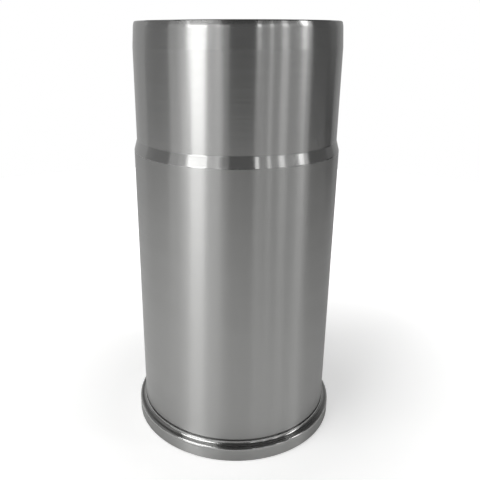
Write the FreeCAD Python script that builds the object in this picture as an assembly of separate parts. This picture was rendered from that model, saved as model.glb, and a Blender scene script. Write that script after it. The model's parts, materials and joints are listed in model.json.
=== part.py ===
import FreeCAD, Part
import math
import os

# A wet cylinder liner for a heavy diesel engine: one piece of spun-cast iron, turned all over,
# ground at its far end and honed in the bore. It stands on its flange, so the end that points
# down in an engine block points up here. Sizes are in millimetres. Z is the axis of the bore
# and z = 0 is the flat face of the flange.

# Bore, and the walls outside it
bore_diameter = 128.0
pilot_wall = 7.0
body_step = 2.0
flange_overhang = 5.0

# Lengths along the axis
overall_length = 300.0
flange_thickness = 11.5
pilot_length = 77.6
cone_length = 7.0

# Underside of the flange, where it seats on the ledge of the block
seat_fillet_radius = 2.5
seat_corner_radius = 1.7
face_chamfer = 1.0

# Relief groove that the turning tool runs out into beside the seat
groove_land = 0.1
groove_width = 1.4
groove_depth = 1.6

# Far end: a slow taper that leads into the seal rings, a steeper shoulder that it rounds into,
# and the broken edge of the rim
lead_in_length = 13.2
lead_in_depth = 0.9
shoulder_height = 2.4
shoulder_depth = 0.55
shoulder_radius = 12.0
rim_bevel = 0.6

# Mouths of the bore
face_mouth_chamfer = 1.0
rim_mouth_depth = 1.2
rim_mouth_angle = 30.0

# Radii, each wall standing on the one inside it
bore_radius = bore_diameter / 2
pilot_radius = bore_radius + pilot_wall
body_radius = pilot_radius + body_step
flange_radius = body_radius + flange_overhang
groove_floor_radius = body_radius - groove_depth
lead_in_radius = pilot_radius - lead_in_depth
shoulder_top_radius = lead_in_radius - shoulder_depth
rim_radius = shoulder_top_radius - rim_bevel

# Heights above the flange's face
groove_bottom = flange_thickness + seat_fillet_radius + groove_land
groove_top = groove_bottom + groove_width
cone_top = overall_length - pilot_length
cone_bottom = cone_top - cone_length
shoulder_top = overall_length - rim_bevel
shoulder_bottom = shoulder_top - shoulder_height
lead_in_bottom = shoulder_bottom - lead_in_length
rim_mouth_bottom = overall_length - rim_mouth_depth / math.tan(math.radians(rim_mouth_angle))


def rounded_outline(corners):
    """Closed wire in the XZ plane through (radius, height, rounding) corners.

    A corner with a rounding gets the arc that is tangent to both of its sides. The arc starts
    and ends at rounding * tan(half the turn) from the corner, and its middle lies on the line
    that halves the corner.
    """
    points = [FreeCAD.Vector(radius, 0, height) for radius, height, rounding in corners]
    spans = []
    for index, corner in enumerate(points):
        rounding = corners[index][2]
        to_last = (points[index - 1] - corner).normalize()
        to_next = (points[(index + 1) % len(points)] - corner).normalize()
        if rounding == 0:
            spans.append((corner, None, corner))
            continue
        half_turn = (math.pi - to_last.getAngle(to_next)) / 2
        tangent_length = rounding * math.tan(half_turn)
        towards_centre = (to_last + to_next).normalize()
        middle_depth = rounding / math.cos(half_turn) - rounding
        spans.append((
            corner + to_last * tangent_length,
            corner + towards_centre * middle_depth,
            corner + to_next * tangent_length,
        ))
    edges = []
    for index, (start, middle, end) in enumerate(spans):
        if middle is not None:
            edges.append(Part.Arc(start, middle, end).toShape())
        next_start = spans[(index + 1) % len(spans)][0]
        edges.append(Part.LineSegment(end, next_start).toShape())
    return Part.Wire(edges)


def liner_section():
    """Half section of the wall, from the flange's face up the outside and down the bore."""
    flange = [
        (flange_radius - face_chamfer, 0, 0),
        (flange_radius, face_chamfer, 0),
        (flange_radius, flange_thickness, seat_corner_radius),
        (body_radius, flange_thickness, seat_fillet_radius),
    ]
    relief_groove = [
        (body_radius, groove_bottom, 0),
        (groove_floor_radius, groove_bottom, 0),
        (groove_floor_radius, groove_top, 0),
        (body_radius, groove_top, 0),
    ]
    cone = [
        (body_radius, cone_bottom, 0),
        (pilot_radius, cone_top, 0),
    ]
    far_end = [
        (pilot_radius, lead_in_bottom, 0),
        (lead_in_radius, shoulder_bottom, shoulder_radius),
        (shoulder_top_radius, shoulder_top, 0),
        (rim_radius, overall_length, 0),
    ]
    bore = [
        (bore_radius + rim_mouth_depth, overall_length, 0),
        (bore_radius, rim_mouth_bottom, 0),
        (bore_radius, face_mouth_chamfer, 0),
        (bore_radius + face_mouth_chamfer, 0, 0),
    ]
    return Part.Face(rounded_outline(flange + relief_groove + cone + far_end + bore))


origin = FreeCAD.Vector(0, 0, 0)
bore_axis = FreeCAD.Vector(0, 0, 1)
full_turn = 360

liner = liner_section().revolve(origin, bore_axis, full_turn)

os.makedirs("parts", exist_ok=True)
liner.exportStep("parts/liner.step")
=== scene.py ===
import json
import math

import bpy
import numpy as np
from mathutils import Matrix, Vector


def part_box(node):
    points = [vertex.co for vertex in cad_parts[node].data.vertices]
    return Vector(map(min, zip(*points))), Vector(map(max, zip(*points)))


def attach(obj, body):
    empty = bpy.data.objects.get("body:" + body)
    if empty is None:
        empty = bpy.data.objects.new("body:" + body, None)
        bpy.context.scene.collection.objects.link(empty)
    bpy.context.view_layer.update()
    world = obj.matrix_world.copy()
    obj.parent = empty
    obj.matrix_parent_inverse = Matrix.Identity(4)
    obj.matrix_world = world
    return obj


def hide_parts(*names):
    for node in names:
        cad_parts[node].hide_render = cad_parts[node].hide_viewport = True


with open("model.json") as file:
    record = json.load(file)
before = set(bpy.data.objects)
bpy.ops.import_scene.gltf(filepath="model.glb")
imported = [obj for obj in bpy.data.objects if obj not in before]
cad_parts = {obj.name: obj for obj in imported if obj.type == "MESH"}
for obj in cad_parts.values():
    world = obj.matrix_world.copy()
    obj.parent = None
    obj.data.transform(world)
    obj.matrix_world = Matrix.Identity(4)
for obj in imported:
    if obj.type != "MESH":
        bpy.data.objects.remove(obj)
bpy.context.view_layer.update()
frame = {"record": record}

# The liner
# One piece of spun-cast iron, bored, turned all over and ground at the far end. It is a body of
# revolution, so its whole form is one half section carried round the axis of the bore. It stands
# on its flange, and the section here is the one that the frame holds.

mounts = {mount["name"]: mount for mount in frame["record"]["mounts"]}

MM = 0.001
bore_radius = mounts["bore"]["dims"]["r_mm"] * MM
pilot_radius = mounts["pilot"]["dims"]["r_mm"] * MM
flange_radius = mounts["flange_rim"]["dims"]["r_mm"] * MM
seat_height = mounts["flange_seat"]["pos_m"][2]
liner_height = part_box("liner")[1].z

flange_overhang = 5.0 * MM
body_radius = flange_radius - flange_overhang
seat_fillet_radius = 2.5 * MM
seat_corner_radius = 1.7 * MM
face_chamfer = 1.0 * MM

groove_land = 0.1 * MM
groove_width = 1.4 * MM
groove_depth = 1.6 * MM
groove_bottom = seat_height + seat_fillet_radius + groove_land
groove_top = groove_bottom + groove_width
groove_floor_radius = body_radius - groove_depth

pilot_length = 77.6 * MM
cone_length = 7.0 * MM
cone_edge_radius = 2.0 * MM
cone_top = liner_height - pilot_length
cone_bottom = cone_top - cone_length

lead_in_length = 13.2 * MM
lead_in_depth = 0.9 * MM
shoulder_height = 2.4 * MM
shoulder_depth = 0.55 * MM
shoulder_radius = 12.0 * MM
rim_bevel = 0.6 * MM
shoulder_top = liner_height - rim_bevel
shoulder_bottom = shoulder_top - shoulder_height
lead_in_bottom = shoulder_bottom - lead_in_length
lead_in_radius = pilot_radius - lead_in_depth
shoulder_top_radius = lead_in_radius - shoulder_depth
rim_radius = shoulder_top_radius - rim_bevel

face_mouth_chamfer = 1.0 * MM
rim_mouth_depth = 1.2 * MM
rim_mouth_angle = math.radians(30)
rim_mouth_bottom = liner_height - rim_mouth_depth / math.tan(rim_mouth_angle)

# A tool leaves every edge a little broken, which is what catches the light along it.
broken_edge = 0.12 * MM

# How finely the form is drawn: the steps of an arc, the points that keep a flat side flat, and
# the sides of the whole turn.
arc_step = math.radians(6)
fewest_arc_steps = 3
support_gap = 0.35 * MM
support_share = 1 / 6
sides_around = 384

# Each corner is (radius, height, rounding), and each side that follows has the finish it is
# machined to.
section = [
    (flange_radius - face_chamfer, 0, broken_edge, "turned"),
    (flange_radius, face_chamfer, broken_edge, "turned"),
    (flange_radius, seat_height, seat_corner_radius, "burnished"),
    (body_radius, seat_height, seat_fillet_radius, "burnished"),
    (body_radius, groove_bottom, broken_edge, "turned"),
    (groove_floor_radius, groove_bottom, broken_edge, "turned"),
    (groove_floor_radius, groove_top, broken_edge, "turned"),
    (body_radius, groove_top, broken_edge, "turned"),
    (body_radius, cone_bottom, cone_edge_radius, "burnished"),
    (pilot_radius, cone_top, cone_edge_radius, "ground"),
    (pilot_radius, lead_in_bottom, broken_edge, "ground"),
    (lead_in_radius, shoulder_bottom, shoulder_radius, "burnished"),
    (shoulder_top_radius, shoulder_top, broken_edge, "burnished"),
    (rim_radius, liner_height, broken_edge, "turned"),
    (bore_radius + rim_mouth_depth, liner_height, broken_edge, "turned"),
    (bore_radius, rim_mouth_bottom, broken_edge, "honed"),
    (bore_radius, face_mouth_chamfer, broken_edge, "turned"),
    (bore_radius + face_mouth_chamfer, 0, broken_edge, "turned"),
]
finishes = ["turned", "burnished", "ground", "honed"]


def rounded_profile(section):
    """Points of the closed half section, and the finish of the span that follows each.

    A corner of rounding R that turns by an angle T becomes an arc of radius R between the two
    points that lie R * tan(T / 2) from it, drawn in equal steps. Each straight side also gets a
    point just inside both of its ends, which keeps the shading flat between them. The arc of a
    burnished corner is burnished, and any other arc has the finish of the side before it.
    """
    corners = np.array([row[:2] for row in section], dtype=float)
    to_last = np.roll(corners, 1, axis=0) - corners
    to_next = np.roll(corners, -1, axis=0) - corners
    last_length = np.linalg.norm(to_last, axis=1)
    next_length = np.linalg.norm(to_next, axis=1)
    to_last /= last_length[:, None]
    to_next /= next_length[:, None]
    turn = np.pi - np.arccos(np.clip((to_last * to_next).sum(axis=1), -1, 1))
    points, spans = [], []
    for index, (corner, row) in enumerate(zip(corners, section)):
        rounding, finish = row[2:]
        tangent = rounding * math.tan(turn[index] / 2)
        bisector = to_last[index] + to_next[index]
        bisector /= np.linalg.norm(bisector)
        centre = corner + bisector * rounding / math.cos(turn[index] / 2)
        steps = max(fewest_arc_steps, math.ceil(turn[index] / arc_step))
        along = np.linspace(-turn[index] / 2, turn[index] / 2, steps + 1)[:, None]
        across = to_next[index] - bisector * (to_next[index] @ bisector)
        across /= np.linalg.norm(across)
        arc = centre + rounding * (np.sin(along) * across - np.cos(along) * bisector)
        shorter_side = min(last_length[index], next_length[index])
        gap = min(support_gap, shorter_side * support_share)
        before = corner + to_last[index] * (tangent + gap)
        after = corner + to_next[index] * (tangent + gap)
        arc_finish = finish if finish == "burnished" else section[index - 1][3]
        points += [before[None], arc, after[None]]
        spans += [arc_finish] * (steps + 2) + [finish]
    return np.concatenate(points), spans


def revolved(name, points, spans):
    """Mesh of a closed profile carried round Z.

    Vertex (i, j) is profile point i at angle 2 * pi * j / sides_around, and both grids wrap. The
    UV map holds the turn as a share of one turn, and the distance along the profile in metres.
    """
    count = len(points)
    angle = np.linspace(0, 2 * np.pi, sides_around, endpoint=False)
    radius, height = points[:, 0], points[:, 1]
    vertices = np.empty((count, sides_around, 3))
    vertices[..., 0] = radius[:, None] * np.sin(angle)
    vertices[..., 1] = -radius[:, None] * np.cos(angle)
    vertices[..., 2] = height[:, None]
    i, j = np.meshgrid(np.arange(count), np.arange(sides_around), indexing="ij")
    next_i, next_j = (i + 1) % count, (j + 1) % sides_around
    quads = np.stack([
        i * sides_around + j,
        i * sides_around + next_j,
        next_i * sides_around + next_j,
        next_i * sides_around + j,
    ], axis=-1).reshape(-1, 4)
    mesh = bpy.data.meshes.new(name)
    mesh.from_pydata(vertices.reshape(-1, 3), [], quads)
    lengths = np.linalg.norm(np.roll(points, -1, axis=0) - points, axis=1)
    travelled = np.concatenate([[0], np.cumsum(lengths)])
    uv = np.empty((count, sides_around, 4, 2))
    uv[..., 0] = (j[..., None] + np.array([0, 1, 1, 0])) / sides_around
    uv[..., 1] = travelled[i[..., None] + np.array([0, 0, 1, 1])]
    mesh.uv_layers.new(name="lay")
    mesh.uv_layers["lay"].uv.foreach_set("vector", uv.ravel())
    slots = np.repeat([finishes.index(span) for span in spans], sides_around)
    mesh.polygons.foreach_set("material_index", slots)
    mesh.polygons.foreach_set("use_smooth", np.ones(len(quads), dtype=bool))
    mesh.update()
    return mesh


profile_points, profile_spans = rounded_profile(section)
liner_mesh = revolved("liner_machined", profile_points, profile_spans)
liner = bpy.data.objects.new("liner_machined", liner_mesh)
bpy.context.scene.collection.objects.link(liner)


def linear(hex_colour):
    """Scene-linear RGBA of an sRGB hex colour."""
    channels = [int(hex_colour[k:k + 2], 16) / 255 for k in (1, 3, 5)]
    return [c / 12.92 if c <= 0.04045 else ((c + 0.055) / 1.055) ** 2.4 for c in channels] + [1]


def add_node(tree, kind, inputs=None, **settings):
    """Adds a node with its settings.

    inputs maps a socket's name or number to a value, or to the output that feeds it.
    """
    made = tree.nodes.new(kind)
    for key, value in settings.items():
        setattr(made, key, value)
    for key, value in (inputs or {}).items():
        if isinstance(value, bpy.types.NodeSocket):
            tree.links.new(value, made.inputs[key])
        else:
            made.inputs[key].default_value = value
    return made


# Tool marks are 0.1 mm apart on the real thing, too fine to show, so they are drawn 0.9 mm apart.
# Round a ring they change slowly, 6 times in a metre.
tool_feed = 0.9 * MM
changes_along_ring = 6

# The hone's crossed scratches are 0.05 mm apart, and are drawn 1.2 mm apart. They rise at 25
# degrees, and each fades over 50 mm of the bore's height.
scratch_spacing = 1.2 * MM
scratch_rise = math.radians(25)
scratch_height = 50 * MM

# The form itself drifts by a few thousandths of a millimetre, over 30 mm across and 120 mm up,
# and the shade of the iron by 3 parts in 100.
drift_width = 30 * MM
drift_height = 120 * MM
shade_drift = 0.03

# Heights of the noise, 0 to 1, that count as the bottom and the crest of a mark.
mark_bottom = 0.3
mark_crest = 0.7

# The shader stretches a highlight along the lay, and a quarter turn lays it across.
quarter_turn = 0.25


def ring_marks(tree, place):
    """Height, 0 to 1, of tool marks that run round the axis and are tool_feed apart."""
    stretched = add_node(tree, "ShaderNodeMapping", {
        "Vector": place, "Scale": (changes_along_ring, changes_along_ring, 1 / tool_feed)})
    return add_node(tree, "ShaderNodeTexNoise", {
        "Vector": stretched.outputs[0], "Scale": 1, "Detail": 3, "Roughness": 0.6}).outputs[0]


def crossed_scratches(tree, place):
    """Height, 0 to 1, of two families of helical scratches in the bore.

    A scratch that rises at an angle A keeps g = turn - z / (radius * tan(A)) the same along it.
    Noise round the circle (c * cos g, c * sin g), with c = radius * sin(A) / scratch_spacing,
    has marks that are scratch_spacing apart and meets itself after one turn.
    """
    parts = add_node(tree, "ShaderNodeSeparateXYZ", {"Vector": place})
    turn = add_node(tree, "ShaderNodeMath", {0: parts.outputs["Y"], 1: parts.outputs["X"]},
                    operation="ARCTAN2")
    circle = bore_radius * math.sin(scratch_rise) / scratch_spacing
    families = []
    for side in (-1, 1):
        along = add_node(tree, "ShaderNodeMath", {
            0: parts.outputs["Z"], 1: side / (bore_radius * math.tan(scratch_rise)),
            2: turn.outputs[0]}, operation="MULTIPLY_ADD")
        cosine = add_node(tree, "ShaderNodeMath", {0: along.outputs[0]}, operation="COSINE")
        sine = add_node(tree, "ShaderNodeMath", {0: along.outputs[0]}, operation="SINE")
        round_it = add_node(tree, "ShaderNodeCombineXYZ", {
            "X": cosine.outputs[0], "Y": sine.outputs[0], "Z": parts.outputs["Z"]})
        spread = add_node(tree, "ShaderNodeMapping", {
            "Vector": round_it.outputs[0], "Scale": (circle, circle, 1 / scratch_height)})
        families.append(add_node(tree, "ShaderNodeTexNoise", {
            "Vector": spread.outputs[0], "Scale": 1, "Detail": 3, "Roughness": 0.7}).outputs[0])
    return add_node(tree, "ShaderNodeMath", {0: families[0], 1: families[1]},
                    operation="MINIMUM").outputs[0]


def machined_iron(name, colour, marks, smoothest, roughest, anisotropy, depth, drift):
    """Bare iron with the marks that its last tool left.

    The tool rubs the bottom of a mark and leaves the crest beside it torn, so the roughness goes
    from smoothest to roughest with the height of the marks, which also gives the relief. The
    highlight is drawn out across the lay, which runs round the axis.
    """
    material = bpy.data.materials.new(name)
    material.use_nodes = True
    tree = material.node_tree
    tree.nodes.clear()
    place = add_node(tree, "ShaderNodeTexCoord").outputs["Object"]
    height = marks(tree, place)
    drift_place = add_node(tree, "ShaderNodeMapping", {
        "Vector": place, "Scale": (1 / drift_width, 1 / drift_width, 1 / drift_height)})
    drifting = add_node(tree, "ShaderNodeTexNoise", {
        "Vector": drift_place.outputs[0], "Scale": 1, "Detail": 1, "Roughness": 0.4})
    shade = add_node(tree, "ShaderNodeMapRange", {
        "Value": drifting.outputs[0], "To Min": 1 - shade_drift, "To Max": 1 + shade_drift})
    tint = add_node(tree, "ShaderNodeMix", {
        0: 1.0, 6: linear(colour), 7: shade.outputs[0]}, data_type="RGBA", blend_type="MULTIPLY")
    roughness = add_node(tree, "ShaderNodeMapRange", {
        "Value": height, "From Min": mark_bottom, "From Max": mark_crest,
        "To Min": smoothest, "To Max": roughest})
    relief = add_node(tree, "ShaderNodeBump", {
        "Height": height, "Strength": 1, "Distance": depth})
    form = add_node(tree, "ShaderNodeBump", {
        "Height": drifting.outputs[0], "Normal": relief.outputs[0], "Strength": 1,
        "Distance": drift})
    lay = add_node(tree, "ShaderNodeTangent", direction_type="UV_MAP", uv_map="lay")
    metal = add_node(tree, "ShaderNodeBsdfPrincipled", {
        "Base Color": tint.outputs[2], "Roughness": roughness.outputs[0],
        "Normal": form.outputs[0], "Tangent": lay.outputs[0],
        "Metallic": 1, "Anisotropic": anisotropy, "Anisotropic Rotation": quarter_turn})
    add_node(tree, "ShaderNodeOutputMaterial", {"Surface": metal.outputs[0]})
    return material


# Turned with a fine feed: satin grey, and each lamp is drawn out into a soft upright streak.
turned = machined_iron("fine_turned_iron", "#AEAEAD", ring_marks,
                       0.28, 0.34, 1.0, 0.0004 * MM, 0.005 * MM)
# Turned slowly with a round-nosed tool, which rubs the iron nearly bright: the cone, the seat and
# the shoulder of the rim mirror the lamps with clear sides.
burnished = machined_iron("burnished_iron", "#AEAEAD", ring_marks,
                          0.16, 0.20, 0.9, 0.0001 * MM, 0.001 * MM)
# Ground where the seal rings run: finer than turned, so the streaks are narrow and brighter.
ground = machined_iron("ground_iron", "#AEAEAD", ring_marks,
                       0.23, 0.27, 0.95, 0.0005 * MM, 0.005 * MM)
# Honed to hold oil: an even satin with a faint net of crossed scratches.
honed = machined_iron("honed_iron", "#AAAAA8", crossed_scratches,
                      0.24, 0.42, 0.3, 0.004 * MM, 0.005 * MM)
for finish in (turned, burnished, ground, honed):
    liner_mesh.materials.append(finish)

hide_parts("liner")
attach(liner, "root")

# The floor
# A round floor of matt white paper. The camera sees the soft shadow close to the liner, and plain
# white farther out. In the liner's reflections only, the paper glows with a painted pool of light
# at the front left, which falls away to the right and to the back, and painted shade dims that glow
# close to the flange's rim.

floor_radius = 0.9
floor_sides = 128
floor_turn = np.linspace(0, 2 * np.pi, floor_sides, endpoint=False)
floor_rim = np.stack([
    floor_radius * np.cos(floor_turn),
    floor_radius * np.sin(floor_turn),
    np.zeros(floor_sides),
], axis=-1)
floor_mesh = bpy.data.meshes.new("floor")
floor_mesh.from_pydata(floor_rim, [], [range(floor_sides)])
floor = bpy.data.objects.new("floor", floor_mesh)
bpy.context.scene.collection.objects.link(floor)

# The shadow's distances are metres from the liner's axis, and the painted glow's from the pool's
# centre.
paper_white = "#EDEDEC"
camera_glow = 0.5
shadow_fades_from = 0.1
shadow_fades_to = 0.35
# Painted light: the paper glows for the liner's reflections only, as a pool that fades from its
# centre.
painted_pool_glow = 0.37
pool_centre = (-0.22, -0.08, 0)
glow_fades_from = 0.1
glow_fades_to = 1.1
# Painted shade: next to the flange the painted glow is dimmed to this level, over this width.
painted_shade_width = 30 * MM
painted_shade_level = 0.2

paper = bpy.data.materials.new("matt_white_paper")
paper.use_nodes = True
paper_tree = paper.node_tree
paper_tree.nodes.clear()
paper_rays = add_node(paper_tree, "ShaderNodeLightPath")
paper_place = add_node(paper_tree, "ShaderNodeTexCoord").outputs["Object"]
from_liner = add_node(paper_tree, "ShaderNodeVectorMath", {0: paper_place}, operation="LENGTH")
backdrop = add_node(paper_tree, "ShaderNodeMapRange", {
    "Value": from_liner.outputs["Value"], "From Min": shadow_fades_from,
    "From Max": shadow_fades_to, "To Min": camera_glow, "To Max": 1.0})
# The painted pool of light, brightest at its centre and fading outwards.
from_pool = add_node(paper_tree, "ShaderNodeVectorMath", {0: paper_place, 1: pool_centre},
                     operation="DISTANCE")
pool = add_node(paper_tree, "ShaderNodeMapRange", {
    "Value": from_pool.outputs["Value"], "From Min": glow_fades_from, "From Max": glow_fades_to,
    "To Min": painted_pool_glow, "To Max": 0})
# Painted shade round the flange's rim, which darkens the painted pool of light there.
painted_foot_shade = add_node(paper_tree, "ShaderNodeMapRange", {
    "Value": from_liner.outputs["Value"], "From Min": flange_radius,
    "From Max": flange_radius + painted_shade_width, "To Min": painted_shade_level, "To Max": 1.0})
painted_pool_with_shade = add_node(paper_tree, "ShaderNodeMath", {
    0: pool.outputs[0], 1: painted_foot_shade.outputs[0]}, operation="MULTIPLY")
in_mirror = add_node(paper_tree, "ShaderNodeMath", {
    0: paper_rays.outputs["Is Glossy Ray"], 1: painted_pool_with_shade.outputs[0]}, operation="MULTIPLY")
lift = add_node(paper_tree, "ShaderNodeMath", {
    0: paper_rays.outputs["Is Camera Ray"], 1: backdrop.outputs[0], 2: in_mirror.outputs[0]},
    operation="MULTIPLY_ADD")
glow = add_node(paper_tree, "ShaderNodeEmission", {
    "Color": linear("#FFFFFF"), "Strength": lift.outputs[0]})
matt = add_node(paper_tree, "ShaderNodeBsdfDiffuse", {"Color": linear(paper_white)})
both = add_node(paper_tree, "ShaderNodeAddShader", {0: matt.outputs[0], 1: glow.outputs[0]})
add_node(paper_tree, "ShaderNodeOutputMaterial", {"Surface": both.outputs[0]})
floor_mesh.materials.append(paper)

# The light
# A plain studio: a bright window at the front left with a high box above it, four narrow strips at
# the right, and dim even light from the front, the sides and the back. The metal shows all of them
# as upright streaks. Past them is a dim room with a pale wall. The camera sees white all round.

aim = (0, 0, 0.15)
box_distance = 2.0


def soft_box(name, left, right, low, high, radiance):
    """A flat lamp that faces the liner's middle and covers these angles, in degrees.

    Angles left and right are turns from the camera's side, positive to the right. Angles low and
    high are heights above the horizon. A flat lamp of area A and radiance L gives pi * A * L watts.
    """
    turn, height = math.radians((left + right) / 2), math.radians((low + high) / 2)
    lamp = bpy.data.lights.new(name, "AREA")
    lamp.shape = "RECTANGLE"
    lamp.size = 2 * box_distance * math.tan(math.radians(right - left) / 2) * math.cos(height)
    lamp.size_y = 2 * box_distance * math.tan(math.radians(high - low) / 2)
    lamp.energy = math.pi * lamp.size * lamp.size_y * radiance
    box = bpy.data.objects.new(name, lamp)
    away = (math.sin(turn) * math.cos(height), -math.cos(turn) * math.cos(height), math.sin(height))
    box.location = [a + box_distance * d for a, d in zip(aim, away)]
    box.rotation_euler = (math.pi / 2 - height, 0, turn)
    box.visible_camera = False
    bpy.context.scene.collection.objects.link(box)


# The window at the front left, brighter at its middle and upper part, with soft sides.
soft_box("key_window", -51.5, -31.6, 0, 8, 2.8)
soft_box("key_top", -52, -31.0, 8, 21, 3.2)
soft_box("key_core", -48, -34.5, -14, 8, 0.9)
soft_box("key_low", -48.5, -34, -14, 0, 1.4)
soft_box("key_edge", -55, -52, 8, 30, 1.05)
soft_box("key_high", -49, -36, 21, 40, 0.2)
soft_box("key_side", -64, -51.5, -14, 27, 0.15)
soft_box("key_side_low", -60, -48.5, -14, 0, 0.5)
# Even light at the left, dimmer towards the back.
soft_box("left_fill", -76, -51.5, -14, 27, 0.58)
soft_box("far_left_fill", -114, -76, -14, 27, 0.24)
soft_box("left_high", -125, -78, 32, 56, 0.3)
soft_box("left_wall", -165, -114, -14, 30, 0.36)
# Even light at the front, which fades out towards the right.
soft_box("front_fill", -34, -14, -14, 21, 0.74)
soft_box("front_edge", -21.5, -15, 0, 21, 0.4)
soft_box("front_fade", -14, -8, 0, 21, 0.68)
soft_box("front_fade_low", -14, -8, -14, 0, 0.08)
soft_box("front_fill_high", -30.6, -17.8, 13.5, 31.1, 0.55)
soft_box("front_soft", -8, 19, 4, 28, 0.15)
# Four upright strips at the right, each with a dimmer foot. The fourth is the widest.
soft_box("first_strip", 20.4, 24.4, 10, 24, 2.45)
soft_box("first_strip_low", 19, 27, -14, 10, 0.27)
soft_box("second_strip", 34, 37, 11, 24, 1.2)
soft_box("second_strip_low", 34, 36.6, -14, 10, 0.43)
soft_box("third_strip", 47, 53.4, 12, 28, 1.25)
soft_box("third_strip_low", 46, 55, -14, 12, 0.38)
soft_box("fourth_strip", 71.5, 79.5, 14, 40, 2.9)
soft_box("fourth_strip_high", 71, 81, 26, 38, 2.4)
soft_box("fourth_strip_side", 79.5, 84, 10, 30, 1.0)
soft_box("fourth_strip_mid", 69, 81, 0, 14, 0.33)
soft_box("fourth_strip_low", 74, 84, -14, 0, 0.55)
# Dim light between the strips, and on round the right to the back.
soft_box("right_fill", 25.4, 77.0, -14, 24, 0.41)
soft_box("right_fill_high", 26, 68, 16, 30, 0.25)
soft_box("far_right_fill", 82, 114, -14, 30, 0.115)
soft_box("right_wall", 114, 130, -3, 30, 0.17)
soft_box("right_back", 130, 172, -12, 30, 0.24)
# The high box above the window, which the seat's fillet and the flange's corner mirror.
soft_box("high_box", -76, -27, 40, 62, 5)

# The room past the lamps. Where its wall and its ceiling begin and are full is given as the
# cosine of the angle to the middle of each.
room_level = 0.04
wall_level = 0.12
wall_turn = math.radians(-165)
wall_from = 0.35
wall_to = 0.75
ceiling_from = 0.4
ceiling_to = 0.65
ceiling_lift = 1.6
seen_white = 1.0

world = bpy.data.worlds.new("studio_room")
bpy.context.scene.world = world
world.use_nodes = True
room = world.node_tree
room.nodes.clear()
looking = add_node(room, "ShaderNodeTexCoord").outputs["Generated"]
towards_wall = add_node(room, "ShaderNodeVectorMath", {
    0: looking, 1: (math.sin(wall_turn), -math.cos(wall_turn), 0)}, operation="DOT_PRODUCT")
wall = add_node(room, "ShaderNodeMapRange", {
    "Value": towards_wall.outputs["Value"], "From Min": wall_from, "From Max": wall_to,
    "To Min": room_level, "To Max": wall_level}, interpolation_type="SMOOTHSTEP")
upwards = add_node(room, "ShaderNodeSeparateXYZ", {"Vector": looking})
ceiling = add_node(room, "ShaderNodeMapRange", {
    "Value": upwards.outputs["Z"], "From Min": ceiling_from, "From Max": ceiling_to,
    "To Min": 1.0, "To Max": ceiling_lift}, interpolation_type="SMOOTHSTEP")
dim_room = add_node(room, "ShaderNodeMath", {
    0: wall.outputs[0], 1: ceiling.outputs[0]}, operation="MULTIPLY")
rays = add_node(room, "ShaderNodeLightPath")
seen = add_node(room, "ShaderNodeMix", {
    "Factor": rays.outputs["Is Camera Ray"], "A": dim_room.outputs[0], "B": seen_white})
sky = add_node(room, "ShaderNodeBackground", {
    "Color": linear("#FFFFFF"), "Strength": seen.outputs[0]})
add_node(room, "ShaderNodeOutputWorld", {"Surface": sky.outputs[0]})

# The camera
# It stands where the photograph's did: in front, a little lower than the rim, and looks down at
# the liner's middle. Its focal length and its shift to the side are those of the photograph.

image_size = 480
sensor_width = 36
focal_pixels = 567.16
principal_x = 217.83
camera_place = (0, -409.75 * MM, 293.14 * MM)
look_down = math.radians(20.12)
look_left = math.radians(1.859)
nearest_seen = 0.01

camera_data = bpy.data.cameras.new("camera")
camera_data.sensor_width = sensor_width
camera_data.lens = focal_pixels / image_size * sensor_width
camera_data.shift_x = (image_size / 2 - principal_x) / image_size
camera_data.clip_start = nearest_seen
camera = bpy.data.objects.new("camera", camera_data)
camera.location = camera_place
camera.rotation_euler = (math.pi / 2 - look_down, 0, look_left)
bpy.context.scene.collection.objects.link(camera)
bpy.context.scene.camera = camera
bpy.context.scene.view_settings.view_transform = "Standard"
